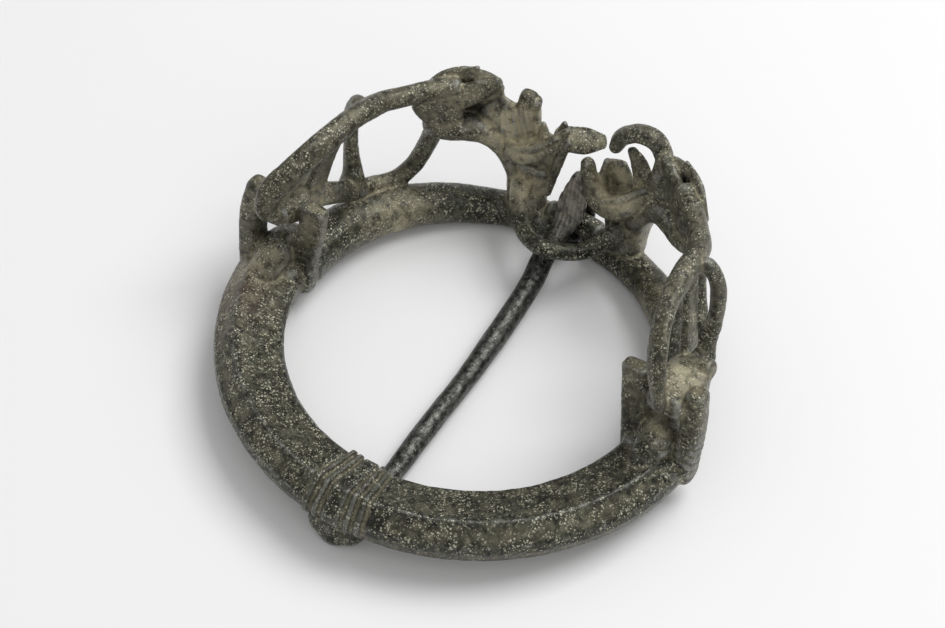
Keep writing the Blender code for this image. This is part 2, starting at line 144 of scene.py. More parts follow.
# Places of dust (centre, radius, strength), of painted shade in recesses (centre, radius) and of rust on the
# brooch
DUSTY_PLACES = (((-10.0, 29.5, 20.0), 6.5, 1.3), ((-13.5, 29.5, 20.0), 5.0, 1.2),
                ((-8.5, 29.0, 9.0), 5.0, 1.3), ((8.5, 28.5, 17.5), 5.0, 1.2),
                ((-27.0, 17.0, 4.0), 9.0, 0.6), ((-20.0, 25.0, 26.0), 6.0, 0.3),
                ((34.5, 1.0, 18.0), 5.0, 0.5), ((34.0, -3.0, 10.0), 4.0, 0.6),
                ((-32.5, 2.0, 14.0), 5.5, 0.6), ((-35.0, -7.0, 7.0), 6.0, 0.5),
                ((14.0, 30.0, 8.0), 5.0, 0.7), ((20.0, 24.0, 3.0), 7.0, 0.4))
PAINTED_SHADE_PLACES = (((-18.2, 28.6, 21.8), 2.6), ((18.4, 28.6, 26.2), 2.0), ((-14.2, 29.6, 24.6), 0.7),
                      ((6.9, 29.6, 17.0), 1.6), ((-27.5, 13.0, 10.5), 3.0), ((33.5, 4.0, 11.0), 2.5))
RUST_PLACE = (-37.5, -14.5, 3.0)
RUST_RADIUS = 9.0

# Patina colours
DARK_OLIVE = (0.005, 0.006, 0.0035)
LIGHT_OLIVE = (0.027, 0.029, 0.019)
KHAKI_EARTH = (0.52, 0.47, 0.32)
PALE_GRAINS = (0.62, 0.6, 0.46)
DARK_GREY = (0.02, 0.021, 0.019)
LIGHT_GREY = (0.045, 0.047, 0.043)
GREY_EARTH = (0.5, 0.46, 0.38)
GREY_GRAINS = (0.45, 0.45, 0.42)
RUST_BROWN = (0.085, 0.05, 0.035)
RUBBED_METAL = (0.3, 0.3, 0.27)
# Near-black painted shade for the recesses where shade falls
PAINTED_SHADE_COLOUR = (0.006, 0.006, 0.004)

# Floor and lights, in metres and watts
FLOOR_SIZE = 4.0
FLOOR_DROP = 0.00005
FLOOR_COLOUR = (0.86, 0.86, 0.865)
KEY_PLACE = (0.24, 0.34, 0.72)
KEY_SIZE = 0.5
KEY_POWER = 4.6
FILL_PLACE = (0.45, -0.4, 0.8)
FILL_SIZE = 0.8
FILL_POWER = 1.2
ROOM_LIGHT = 0.48

# Camera, in the ring's own plane
CAMERA_AROUND = 29.1
CAMERA_ABOVE = 48.6
CAMERA_ROLL = 3.25
CAMERA_DISTANCE = 450.0
CAMERA_SIDEWAYS = -0.5
CAMERA_LIFT = 4.1
CAMERA_TARGET_HEIGHT = 4.8
FOCAL_PIXELS = 2910.0
PHOTO_WIDTH = 945.0
SENSOR_WIDTH = 36.0


def smooth_path(stations, steps):
    """Points on a smooth curve through the stations, with the half widths carried along."""
    rows = [Vector(row) for row in stations]
    rows = [rows[0] * 2 - rows[1]] + rows + [rows[-1] * 2 - rows[-2]]
    path = []
    for a, b, c, d in zip(rows, rows[1:], rows[2:], rows[3:]):
        for step in range(steps):
            t = step / steps
            path.append(0.5 * (2 * b + (c - a) * t + (2 * a - 5 * b + 4 * c - d) * t ** 2
                               + (3 * b - a - 3 * c + d) * t ** 3))
    path.append(rows[-2])
    return path


def section_ring(bm, centre, side, rise, half_width, half_height, squareness, sides):
    """One cross-section: an ellipse, or a rounded rectangle where squareness is below 1."""
    ring = []
    for k in range(sides):
        angle = math.tau * k / sides
        c = math.cos(angle)
        s = math.sin(angle)
        across = math.copysign(abs(c) ** squareness, c) * half_width
        up = math.copysign(abs(s) ** squareness, s) * half_height
        ring.append(bm.verts.new((centre + side * across + rise * up) * MM))
    return ring


def skin(bm, rings):
    """Close a row of cross-sections with side faces and two end faces."""
    for low, high in zip(rings, rings[1:]):
        for k in range(len(low)):
            n = (k + 1) % len(low)
            bm.faces.new((low[k], low[n], high[n], high[k]))
    bm.faces.new(reversed(rings[0]))
    bm.faces.new(rings[-1])


def limb(bm, stations, up=(0.0, 0.0, 1.0), squareness=1.0, roundness=1.0, steps=LIMB_STEPS,
         sides=LIMB_SIDES):
    """A cast limb through stations (x, y, z, half width, half height), with rounded or blunt ends."""
    rows = smooth_path(stations, steps)
    up = Vector(up)
    points = [Vector(row[:3]) for row in rows]
    frames = []
    for i, row in enumerate(rows):
        before = points[max(i - 1, 0)]
        after = points[min(i + 1, len(points) - 1)]
        along = (after - before).normalized()
        side = up.cross(along)
        side.normalize()
        rise = along.cross(side)
        frames.append((points[i], along, side, rise, row[3], row[4]))
    caps = []
    for angle in CAP_ANGLES:
        caps.append((math.sin(math.radians(angle)) * roundness,
                     1.0 - roundness * (1.0 - math.cos(math.radians(angle)))))
    rounded = []
    for end, ahead, order in ((frames[0], -1.0, caps), (frames[-1], 1.0, caps[::-1])):
        place, along, side, rise, width, height = end
        cap = [(place + along * ahead * reach * min(width, height), along, side, rise,
                width * shrink, height * shrink) for reach, shrink in order]
        if ahead < 0:
            rounded = cap + frames
        else:
            rounded = rounded + cap
    rings = [section_ring(bm, p, side, rise, w, h, squareness, sides)
             for p, along, side, rise, w, h in rounded]
    skin(bm, rings)


def mirrored(stations):
    """The same stations on the left-hand side."""
    return [(-row[0],) + tuple(row[1:]) for row in stations]


def both_sides(bm, stations, **options):
    """A limb on the right-hand side and its mirror image on the left."""
    limb(bm, stations, **options)
    up = options.pop("up", (0.0, 0.0, 1.0))
    limb(bm, mirrored(stations), up=(-up[0], up[1], up[2]), **options)


def collar_rise(arc):
    """How far the collar stands proud of the ring, at an arc length from its middle."""
    rim = COLLAR_HALF_WIDTH - abs(arc)
    if rim < 0.0:
        return 0.0
    if rim < 2 * COLLAR_RIM_WIDTH:
        rib = math.sin(math.pi * (rim % COLLAR_RIM_WIDTH) / COLLAR_RIM_WIDTH)
        return COLLAR_RIM_RISE * rib ** 0.6
    band = (rim - 2 * COLLAR_RIM_WIDTH) / (COLLAR_HALF_WIDTH - 2 * COLLAR_RIM_WIDTH)
    return COLLAR_BAND_RISE * min(1.0, 4 * band)


def front_ring(bm):
    """The heavy faceted half of the ring, with its collar."""
    inner = RING_OUTER_RADIUS - RING_WIDTH
    arris = RING_OUTER_RADIUS - ARRIS_INSET
    outline = [(inner, INNER_EDGE_HEIGHT), (inner + 0.6, INNER_EDGE_HEIGHT + 0.9),
               (arris - 0.25, RING_THICKNESS), (arris + 0.15, RING_THICKNESS),
               (RING_OUTER_RADIUS - 0.2, 4.8), (RING_OUTER_RADIUS, 3.4),
               (RING_OUTER_RADIUS - 0.9, 0.9), (RING_OUTER_RADIUS - 2.6, 0.0),
               (inner + 2.4, 0.0), (inner + 0.5, 1.8)]
    middle = Vector((inner + RING_WIDTH / 2, RING_THICKNESS / 2))
    end = math.radians(90.0 + RING_END_ANGLE)
    mid_radius = RING_OUTER_RADIUS - RING_WIDTH / 2
    collar_end = (COLLAR_HALF_WIDTH + 0.1) / mid_radius
    turns = [-end + (end - collar_end) * i / RING_STEPS for i in range(RING_STEPS)]
    turns += [-collar_end + 2 * collar_end * i / COLLAR_STEPS for i in range(COLLAR_STEPS + 1)]
    turns += [collar_end + (end - collar_end) * i / RING_STEPS for i in range(1, RING_STEPS + 1)]
    rings = []
    for turn in turns:
        angle = turn - math.pi / 2
        arc = turn * mid_radius
        rise = collar_rise(arc)
        ring = []
        for radius, height in outline:
            out = Vector((radius, height)) - middle
            lift = rise if height > 1.0 else 0.0
            place = middle + out * (1.0 + lift / out.length)
            ring.append(bm.verts.new(Vector((place.x * math.cos(angle), place.x * math.sin(angle),
                                             place.y)) * MM))
        rings.append(ring)
    skin(bm, rings)


def bar_station(across):
    """The rear bar's size at a distance across the brooch: it grows taller towards the ring's ends."""
    grow = max(0.0, abs(across) / BAR_RADIUS - BAR_GROWS_FROM) / (1.0 - BAR_GROWS_FROM)
    behind = math.sqrt(max(0.0, BAR_RADIUS ** 2 - across ** 2))
    return (across, behind, BAR_CENTRE_HEIGHT + BAR_END_RISE * grow,
            BAR_HALF_WIDTH + BAR_END_EXTRA_WIDTH * grow, BAR_HALF_HEIGHT + BAR_END_EXTRA_HEIGHT * grow)


def rear_bar(bm):
    """The thin bar that closes the ring behind, with the round neck that the pin turns on."""
    stations = []
    for i in range(BAR_STEPS + 1):
        across = BAR_RADIUS * math.cos(math.pi * i / BAR_STEPS)
        if abs(across - PIN_HINGE_X) > HINGE_NECK_HALF_LENGTH + 1.5:
            stations.append(bar_station(across))
    for place in (HINGE_NECK_HALF_LENGTH + 0.9, -HINGE_NECK_HALF_LENGTH - 0.9):
        stations.append(bar_station(PIN_HINGE_X + place))
    for place in (1.0, 0.33, -0.33, -1.0):
        stations.append((PIN_HINGE_X + place * HINGE_NECK_HALF_LENGTH, BAR_RADIUS, HINGE_NECK_HEIGHT,
                         HINGE_NECK_RADIUS, HINGE_NECK_RADIUS))
    stations.sort(reverse=True)
    limb(bm, stations, squareness=0.9, steps=2)


def lug(bm):
    """The smooth lug that the collar rests on."""
    x, y = LUG_CENTRE
    height = LUG_HALF_DEPTH - LUG_DROP
    reach = LUG_HALF_LENGTH * LUG_END_PLACE
    small = LUG_HALF_DEPTH * LUG_END_SIZE
    limb(bm, [(x - reach, y, height + 0.3, small, small), (x, y, height, LUG_HALF_DEPTH, LUG_HALF_DEPTH),
              (x + reach, y, height + 0.3, small, small)], squareness=0.6)


def terminals(bm):
    """The forked ends of the heavy half ring, two prongs on each side, and the boss between them."""
    across = (1.0, 0.0, 0.0)
    both_sides(bm, [(30.4, -2.7, 2.0, 1.5, 2.2), (29.7, -2.3, 8.0, 1.4, 2.1), (28.9, -1.8, 14.0, 1.3, 2.1),
                    (28.4, -1.5, 18.8, 1.3, 2.1)], up=across, squareness=0.45, roundness=0.35)
    both_sides(bm, [(39.0, -3.2, 2.5, 2.3, 1.7), (39.2, -3.0, 9.0, 2.2, 1.8), (39.2, -2.5, 14.0, 2.1, 1.8),
                    (38.8, -1.7, 18.9, 1.8, 1.6)], up=across, squareness=0.55, roundness=0.5)
    both_sides(bm, [(34.5, -8.5, 5.5, 2.4, 2.0), (34.2, -3.6, 8.4, 3.0, 2.8), (34.0, 0.0, 7.4, 3.2, 2.8)])
    both_sides(bm, [(33.5, -4.0, 4.0, 4.6, 3.4), (32.8, 3.5, 3.8, 3.4, 3.2)], squareness=0.8)


def foot_blocks(bm):
    """The block that each long limb stands on, and the knob on its end, held between the prongs."""
    both_sides(bm, [(34.8, -3.9, 16.6, 3.0, 1.8), (35.0, -0.8, 16.0, 3.8, 2.4), (34.8, 3.0, 15.6, 3.6, 2.7),
                    (33.4, 5.8, 14.2, 2.6, 2.2)], squareness=0.5, roundness=0.5)
    both_sides(bm, [(32.8, 5.0, 13.6, 2.2, 2.0), (35.4, 4.6, 14.2, 2.2, 2.2)], up=(0.0, 0.5, 1.0))
    both_sides(bm, [(36.4, 4.6, 17.4, 1.7, 1.7), (37.4, 4.6, 17.6, 1.7, 1.7)], roundness=0.5)


def limbs(bm):
    """The long limbs of the openwork: a strap from the foot block, then a round bar to the shoulder."""
    both_sides(bm, [(34.5, -5.4, 18.0, 1.6, 1.1), (34.3, -6.0, 20.8, 2.0, 1.15), (33.5, -5.4, 23.8, 2.2, 1.2),
                    (31.8, -2.3, 26.5, 2.2, 1.3), (30.3, 2.2, 28.4, 2.1, 1.4), (29.2, 8.4, 29.0, 1.9, 1.6)],
               up=(0.73, 0.53, -0.44))
    both_sides(bm, [(29.6, 6.0, 28.9, 1.8, 1.7), (29.0, 10.6, 28.8, 1.8, 1.8), (28.6, 14.0, 28.0, 1.8, 1.8),
                    (28.0, 17.3, 27.1, 1.7, 1.7), (26.3, 20.0, 26.8, 1.7, 1.6),
                    (23.4, 23.6, 26.9, 1.7, 1.6), (20.6, 26.2, 27.3, 1.5, 1.3)])
    limb(bm, [(29.6, 11.6, 27.4, 1.5, 0.8), (30.6, 10.4, 22.0, 1.9, 0.8), (32.0, 8.6, 15.5, 2.3, 0.9)],
         up=(1.0, 0.0, 0.0), squareness=0.7)
    limb(bm, [(-29.8, 6.6, 27.4, 2.0, 0.8), (-31.6, 5.4, 21.0, 3.0, 0.8), (-33.0, 4.8, 15.0, 3.2, 0.9)],
         up=(1.0, 0.0, 0.0), squareness=0.7)
    both_sides(bm, [(29.6, 13.2, 28.0, 1.3, 1.2), (31.1, 14.3, 27.6, 1.3, 1.2), (32.7, 15.2, 23.0, 1.3, 1.2),
                    (32.8, 15.4, 15.5, 1.3, 1.2), (32.0, 14.7, 11.0, 1.9, 1.6), (31.6, 14.2, 8.6, 2.8, 1.8)],
               up=(0.0, 1.0, 0.0))
    both_sides(bm, [(32.2, 5.6, 14.0, 1.8, 2.0), (31.6, 8.4, 12.3, 1.6, 1.9), (31.6, 11.0, 10.2, 1.6, 1.8),
                    (31.2, 14.2, 8.2, 1.6, 1.6), (29.8, 18.2, 6.7, 1.5, 1.5), (27.8, 21.4, 6.6, 1.5, 1.5),
                    (26.1, 23.6, 8.8, 1.5, 1.5), (24.8, 25.0, 12.6, 1.5, 1.5), (23.6, 25.6, 16.8, 1.6, 1.6)])


def hoods(bm):
    """The hollow pointed shoulders: a near and a far side plate over a curved lower band."""
    both_sides(bm, [(24.0, 23.4, 20.8, 0.9, 3.6), (22.2, 24.6, 22.6, 0.9, 4.2), (20.4, 25.9, 24.8, 0.9, 2.9),
                    (18.0, 27.7, 26.0, 0.9, 2.2), (16.5, 28.8, 27.0, 0.9, 1.9), (15.0, 29.9, 28.0, 0.8, 1.1)],
               squareness=0.75)
    both_sides(bm, [(23.7, 26.0, 22.8, 0.8, 3.8), (21.7, 27.8, 25.0, 0.8, 4.4), (19.3, 29.4, 24.3, 0.8, 5.5),
                    (17.2, 30.1, 24.6, 0.8, 4.6), (16.0, 30.4, 25.6, 0.8, 2.8), (15.2, 30.5, 26.6, 0.8, 1.2)],
               squareness=0.8)
    both_sides(bm, [(19.6, 29.2, 27.9, 0.9, 1.0), (17.3, 30.0, 28.0, 0.9, 1.0), (15.2, 30.1, 27.6, 0.9, 1.0)])
    limb(bm, [(22.4, 26.0, 20.6, 1.5, 3.0), (19.8, 27.8, 22.6, 1.7, 3.4), (17.4, 29.2, 23.6, 1.5, 2.8)])
    both_sides(bm, [(23.6, 24.6, 18.6, 2.3, 1.6), (21.4, 26.0, 18.1, 2.5, 1.9), (18.8, 27.6, 18.3, 2.5, 2.2),
                    (16.0, 29.1, 17.7, 2.5, 2.2), (13.4, 30.3, 15.1, 2.6, 1.9), (11.2, 31.2, 10.4, 2.8, 1.9),
                    (10.1, 31.4, 4.0, 2.9, 2.2)], squareness=0.9)
    limb(bm, [(-15.6, 29.8, 22.8, 1.1, 3.4), (-13.6, 30.2, 21.0, 1.8, 3.8), (-11.2, 30.9, 18.4, 2.1, 3.2)])
    limb(bm, [(15.8, 29.8, 22.4, 1.2, 3.2), (14.2, 30.2, 19.8, 1.7, 3.2), (12.2, 30.8, 16.0, 2.0, 2.2)])


def necks(bm):
    """The flat necks that rise from the rear bar, and the guard loop between them over the pin."""
    both_sides(bm, [(9.0, 31.2, 2.6, 3.2, 2.6), (8.9, 31.2, 8.0, 3.4, 2.2), (8.6, 30.9, 12.8, 4.0, 1.9)],
               up=(0.0, 1.0, 0.0), squareness=0.9, roundness=0.5)
    limb(bm, [(-8.6, 31.3, 12.0, 3.9, 1.2), (-7.8, 31.5, 16.0, 4.2, 1.0), (-6.8, 31.6, 19.6, 3.6, 0.8)],
         up=(0.0, 1.0, 0.0), squareness=0.8)
    right = [(9.4, 30.2, 9.4, 1.9, 1.9), (8.3, 27.1, 8.8, 1.7, 1.7), (6.6, 24.1, 7.9, 1.5, 1.5),
             (4.8, 22.1, 7.8, 1.4, 1.4), (2.3, 20.3, 8.3, 1.4, 1.4)]
    limb(bm, right + [(0.0, 19.4, 8.8, 1.4, 1.4)] + mirrored(right)[::-1])


def muzzles(bm):
    """The lower jaws, boat-shaped with a thin rim, which curl inwards and up to a blunt tip."""
    limb(bm, [(-13.1, 30.0, 15.2, 1.5, 1.4), (-9.1, 28.4, 17.0, 1.9, 1.5), (-5.9, 28.1, 19.6, 1.7, 1.4),
              (-3.4, 28.6, 22.4, 1.2, 1.0), (-2.0, 29.3, 24.8, 0.7, 0.7)], squareness=0.6)
    limb(bm, [(-12.8, 29.2, 16.9, 0.6, 0.6), (-9.1, 26.9, 18.9, 0.6, 0.6), (-5.7, 26.7, 21.3, 0.6, 0.6),
              (-3.0, 27.9, 23.8, 0.5, 0.5)])
    limb(bm, [(13.4, 30.0, 19.2, 1.6, 1.6), (10.8, 28.8, 16.9, 1.8, 1.8), (7.7, 28.2, 14.5, 1.8, 2.1),
              (4.9, 28.3, 15.0, 1.6, 2.0), (3.1, 28.7, 17.8, 1.3, 1.4), (2.3, 29.1, 20.4, 1.1, 1.1)],
         squareness=0.75)
    limb(bm, [(12.8, 28.9, 20.6, 0.6, 0.6), (9.7, 27.2, 18.2, 0.6, 0.6), (6.7, 26.9, 16.5, 0.6, 0.6)])


def left_head(bm):
    """The left head: the fluted stub of its horn, two low points, and the leaf behind it."""
    limb(bm, [(-10.6, 30.4, 15.6, 3.4, 1.4), (-10.2, 30.9, 19.6, 2.8, 1.5), (-9.9, 31.0, 24.0, 2.1, 1.4),
              (-9.9, 31.0, 27.2, 1.4, 1.0)], up=(0.0, 1.0, 0.0), squareness=0.7, roundness=0.7)
    limb(bm, [(-9.4, 31.0, 23.0, 1.4, 1.2), (-8.5, 31.0, 26.7, 0.9, 1.0)], up=(0.0, 1.0, 0.0), roundness=0.6)
    limb(bm, [(-6.2, 30.2, 18.4, 1.8, 0.8), (-6.4, 30.3, 21.0, 1.2, 0.7), (-6.7, 30.5, 23.0, 0.5, 0.5)],
         up=(0.0, 1.0, 0.0))
    limb(bm, [(-3.9, 31.6, 20.4, 1.2, 0.9), (-3.6, 31.3, 22.6, 1.0, 0.7), (-3.3, 31.0, 24.6, 0.5, 0.5)],
         up=(0.0, 1.0, 0.0))
    limb(bm, [(-4.6, 31.8, 20.4, 1.8, 0.9), (-2.5, 32.5, 20.2, 2.2, 0.8), (-0.5, 34.0, 19.8, 2.2, 0.8),
              (1.3, 36.0, 19.0, 1.3, 0.6)], up=(0.0, -0.6, 0.8))
    limb(bm, [(-2.8, 31.2, 20.6, 1.0, 0.7), (-4.2, 30.9, 14.0, 0.9, 0.7), (-5.6, 30.6, 8.4, 1.1, 0.8)],
         up=(0.0, 1.0, 0.0))


def right_head(bm):
    """The right head: its whole horn, the scooped ear plate and the petal inside the horn."""
    limb(bm, [(13.8, 30.2, 19.8, 1.9, 1.7), (14.4, 30.6, 24.1, 1.6, 1.7), (14.2, 31.0, 27.2, 1.4, 1.7),
              (12.5, 31.0, 29.6, 1.4, 1.8), (9.7, 31.0, 29.6, 1.4, 1.8), (7.0, 31.0, 27.4, 1.4, 1.6),
              (5.9, 31.0, 24.6, 1.1, 1.1)], up=(0.0, 1.0, 0.0))
    limb(bm, [(7.4, 31.0, 14.6, 2.6, 0.8), (7.0, 31.4, 18.0, 2.4, 0.6), (6.1, 31.6, 20.8, 1.8, 0.6)],
         up=(0.0, 1.0, 0.0), squareness=0.6, roundness=0.5)
    limb(bm, [(5.2, 30.0, 15.6, 0.7, 0.9), (4.6, 30.4, 18.4, 0.6, 0.9), (4.7, 31.0, 20.6, 0.6, 0.7)],
         up=(0.0, 1.0, 0.0))
    limb(bm, [(11.6, 30.8, 18.6, 1.9, 0.9), (11.2, 30.9, 20.8, 1.9, 0.7), (10.0, 31.2, 23.2, 1.7, 0.7),
              (8.5, 31.5, 25.0, 1.0, 0.5)], up=(0.0, 1.0, 0.0))


def pin_shaft(bm):
    """The pin's gently bent shaft, which runs from its head down to its point below the ring."""
    rear = PIN_RADIUS_AT_HEAD
    front = PIN_RADIUS_AT_COLLAR
    limb(bm, [(-0.8, 25.8, 4.0, rear * 0.95, rear * 0.8), (-0.4, 21.6, 3.6, rear, rear),
              (0.1, 17.4, 2.1, rear, rear), (0.4, 10.3, 0.8, rear, rear), (0.7, 3.0, 0.2, rear, rear),
              (0.9, -4.0, -0.3, front, front), (0.9, -11.7, -0.5, front, front),
              (0.9, -17.2, -0.9, front, front), (0.8, -22.4, -1.7, front * 0.96, front * 0.96),
              (0.7, -27.0, -2.1, front * 0.85, front * 0.85),
              (0.6, PIN_TIP_Y, -2.2, PIN_RADIUS_AT_TIP, PIN_RADIUS_AT_TIP)])


def pin_head(bm):
    """The pin's leaf-shaped head, a strip folded right round the neck of the rear bar."""
    half = PIN_HEAD_THICKNESS / 2
    reach = HINGE_NECK_RADIUS + HINGE_CLEARANCE + half
    wide = PIN_HEAD_HALF_WIDTH
    x = PIN_HINGE_X
    y = BAR_RADIUS
    z = HINGE_NECK_HEIGHT
    top = z + PIN_HEAD_HEIGHT
    limb(bm, [(-0.7, 24.8, 3.9, 1.0, 1.4), (x - 0.2, 27.1, 5.0, 0.9, wide * 0.7),
              (x + 0.2, y - 2.8, z + 4.0, half, wide * 0.95), (x + 0.4, y - 2.1, z + 6.6, half, wide),
              (x + 0.5, y - 1.0, top, half, wide * 0.6), (x + 0.5, y + 0.9, top - 0.5, half, wide * 0.6),
              (x, y + reach, z + 5.6, half, wide * 0.8), (x, y + reach, z + 1.0, half, wide * 0.8)],
         up=(1.0, 0.0, 0.0), squareness=0.8)
    wrap = [(x, y + reach * math.cos(math.radians(turn)), z + reach * math.sin(math.radians(turn)),
             half, wide * 0.8) for turn in range(20, -141, -20)]
    limb(bm, wrap + [(x - 0.1, 27.6, 2.6, 0.8, wide * 0.6), (x - 0.3, 25.4, 3.6, 0.9, 1.3)],
         up=(1.0, 0.0, 0.0), squareness=0.8)


def rest_tilt():
    """The angle between the ring's plane and the surface that it lies on."""
    bar_drop = BAR_HALF_HEIGHT - BAR_CENTRE_HEIGHT
    return math.atan2(LUG_DROP - bar_drop, BAR_RADIUS - LUG_CENTRE[1])


BODY_SHAPES = (front_ring, rear_bar, lug, terminals, foot_blocks, limbs, hoods, necks, muzzles,
               left_head, right_head)
PIN_SHAPES = (pin_shaft, pin_head)


def lattice(cells, seed):
    """A repeatable number from 0 to 1 for each whole-numbered cell."""
    mixed = cells[:, 0] * 374761393 + cells[:, 1] * 668265263 + cells[:, 2] * 2147483647 + seed * 1274126177
    mixed = (mixed ^ (mixed >> 13)) * 1103515245
    mixed = mixed ^ (mixed >> 16)
    return (mixed & 0xFFFFFF) / 0xFFFFFF


def noise(points, size, seed):
    """Smooth noise from -1 to 1 with lumps of the given size."""
    scaled = points / size
    low = np.floor(scaled).astype(np.int64)
    part = scaled - low
    part = part * part * (3 - 2 * part)
    total = np.zeros(len(points))
    for corner in range(8):
        step = np.array([corner & 1, (corner >> 1) & 1, (corner >> 2) & 1])
        weight = np.prod(np.where(step == 1, part, 1 - part), axis=1)
        total += weight * lattice(low + step, seed)
    return total * 2 - 1


def near(points, centre, radius):
    """A soft spot: 1 at the centre, fading out over the radius."""
    away = np.linalg.norm(points - np.array(centre), axis=1) / radius
    return np.exp(-2.0 * away ** 2)


def stripes(distance, spacing):
    """Evenly spaced lines: 1 on each line, 0 midway between two."""
    return 0.5 + 0.5 * np.cos(math.tau * distance / spacing)


def corners_of(mesh):
    """The places of a mesh's vertices."""
    points = np.empty(len(mesh.vertices) * 3)
    mesh.vertices.foreach_get("co", points)
    return points.reshape(-1, 3)


def normals_of(mesh):
    """The outward direction at each vertex."""
    normals = np.empty(len(mesh.vertices) * 3)
    mesh.vertex_normals.foreach_get("vector", normals)
    return normals.reshape(-1, 3)


def edges_of(mesh):
    """The pair of vertices that each edge joins."""
    edges = np.empty(len(mesh.edges) * 2, dtype=np.int64)
    mesh.edges.foreach_get("vertices", edges)
    return edges.reshape(-1, 2)


def spread(values, edges, rounds):
    """Each vertex's value averaged with its neighbours', a number of times."""
    count = np.bincount(edges.ravel(), minlength=len(values)).astype(float)
    values = values.astype(float)
    for _ in range(rounds):
        total = np.zeros_like(values)
        for axis in range(values.shape[1]):
            total[:, axis] = (np.bincount(edges[:, 0], values[edges[:, 1], axis], len(values))
                              + np.bincount(edges[:, 1], values[edges[:, 0], axis], len(values)))
        values = 0.5 * values + 0.5 * total / count[:, None]
    return values


def carve_body(points, normals):
    """How far each point of the casting moves along its normal, in millimetres."""
    x, y, z = points.T
    move = 0.07 * noise(points, 3.1, SEED) + 0.045 * noise(points, 1.1, SEED + 1)
    move += 0.025 * noise(points, 0.5, SEED + 2)

    # Grooves that bound the collar's ribs
    radius = np.hypot(x, y)
    arc = np.abs(np.arctan2(x, -y)) * (RING_OUTER_RADIUS - RING_WIDTH / 2)
    on_ring = (radius > RING_OUTER_RADIUS - RING_WIDTH - 2) & (y < 0) & (z > 0.8)
    for place in (COLLAR_HALF_WIDTH, COLLAR_HALF_WIDTH - COLLAR_RIM_WIDTH,
                  COLLAR_HALF_WIDTH - 2 * COLLAR_RIM_WIDTH):
        groove = np.exp(-((arc - place) / COLLAR_GROOVE_WIDTH) ** 2)
        move -= np.where(on_ring, COLLAR_GROOVE_DEPTH * groove, 0.0)

    # Flutes down the face of the broken horn
    on_stub = near(points, (-10.0, 29.8, 22.0), 4.0) * (normals[:, 1] < 0.1)
    move -= on_stub * FLUTE_DEPTH * stripes(x + FLUTE_LEAN * z, FLUTE_SPACING) ** 3

    # Knuckle lines on the outer right prong
    on_prong = near(points, (38.6, -5.0, 8.0), 5.5)
    move -= on_prong * KNUCKLE_DEPTH * stripes(z + KNUCKLE_LEAN * y, KNUCKLE_SPACING) ** 4

    # Pits and small chips
    random = np.random.default_rng(SEED)
    for index in random.integers(0, len(points), PITS):
        size = random.uniform(0.3, 1.1)
        close = np.abs(points - points[index]).max(axis=1) < 2.2 * size
        away = np.linalg.norm(points[close] - points[index], axis=1)
        move[close] -= random.uniform(0.04, 0.16) * np.exp(-(away / (0.6 * size)) ** 2)
    return move


def carve_pin(points, normals):
    """A faintly uneven pin, with draw lines along its head."""
    x, _, z = points.T
    move = 0.035 * noise(points, 2.4, SEED + 3) + 0.02 * noise(points, 0.8, SEED + 4)
    on_head = near(points, (PIN_HINGE_X, 29.6, 9.0), 7.0)
    move -= on_head * PIN_LINE_DEPTH * stripes(x + PIN_LINE_LEAN * z, PIN_LINE_SPACING) ** 2
    return move


def fine_cast(name, shapes, voxel, triangles, carve, place):
    """One casting with its fine surface, moved from the ring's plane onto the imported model."""
    bm = bmesh.new()
    for shape in shapes:
        shape(bm)
    bmesh.ops.recalc_face_normals(bm, faces=bm.faces)
    rough = bpy.data.meshes.new(name)
    bm.to_mesh(rough)
    bm.free()
    rough_piece = bpy.data.objects.new(name + "_rough", rough)
    bpy.context.scene.collection.objects.link(rough_piece)
    grow = rough_piece.modifiers.new("grow together", "REMESH")
    grow.mode = "VOXEL"
    grow.voxel_size = voxel * MM
    soften = rough_piece.modifiers.new("soften", "SMOOTH")
    soften.factor = 0.5
    soften.iterations = SOFTEN_ROUNDS
    whole = evaluated_mesh(rough_piece)

    points = corners_of(whole) / MM
    normals = normals_of(whole)
    points = points + normals * carve(points, normals)[:, None]
    whole.vertices.foreach_set("co", (points * MM).ravel())
    whole.transform(place)
    world = corners_of(whole)
    world[:, 2] = np.maximum(world[:, 2], 0.0)
    whole.vertices.foreach_set("co", world.ravel())
    whole.update()

    rough_piece.modifiers.clear()
    rough_piece.data = whole
    thin = rough_piece.modifiers.new("fewer faces", "DECIMATE")
    thin.ratio = min(1.0, triangles / (2 * len(whole.polygons)))
    thin.use_collapse_triangulate = True
    fine = evaluated_mesh(rough_piece)
    bpy.data.objects.remove(rough_piece, do_unlink=True)
    fine.shade_smooth()
    piece = bpy.data.objects.new(name, fine)
    bpy.context.scene.collection.objects.link(piece)
    return piece


def evaluated_mesh(piece):
    """A mesh of its own from a piece as its modifiers leave it."""
    bpy.context.view_layer.update()
    view = bpy.context.evaluated_depsgraph_get()
    return bpy.data.meshes.new_from_object(piece.evaluated_get(view))


def paint(piece, place, layers):
    """Store each layer of dirt, wear, stain and painted shade as a number at each vertex."""
    mesh = piece.data
    points = corners_of(mesh)
    edges = edges_of(mesh)
    normals = normals_of(mesh)
    soft = spread(points, edges, BEND_ROUNDS)
    bend = ((soft - points) * normals).sum(axis=1)[:, None] / MM
    bend = (bend - spread(bend, edges, BROAD_BEND_ROUNDS))[:, 0]
    back = np.array(place.inverted())
    ring_points = (points @ back[:3, :3].T + back[:3, 3]) / MM
    for layer, rule in layers.items():
        values = np.clip(rule(ring_points, normals, bend), 0.0, 1.0)
        stored = mesh.attributes.new(layer, "FLOAT", "POINT")
        stored.data.foreach_set("value", values.astype(np.float32))


def hollows(points, normals, bend):
    """Dirt gathers in hollows."""
    return bend / FULL_DIRT_BEND


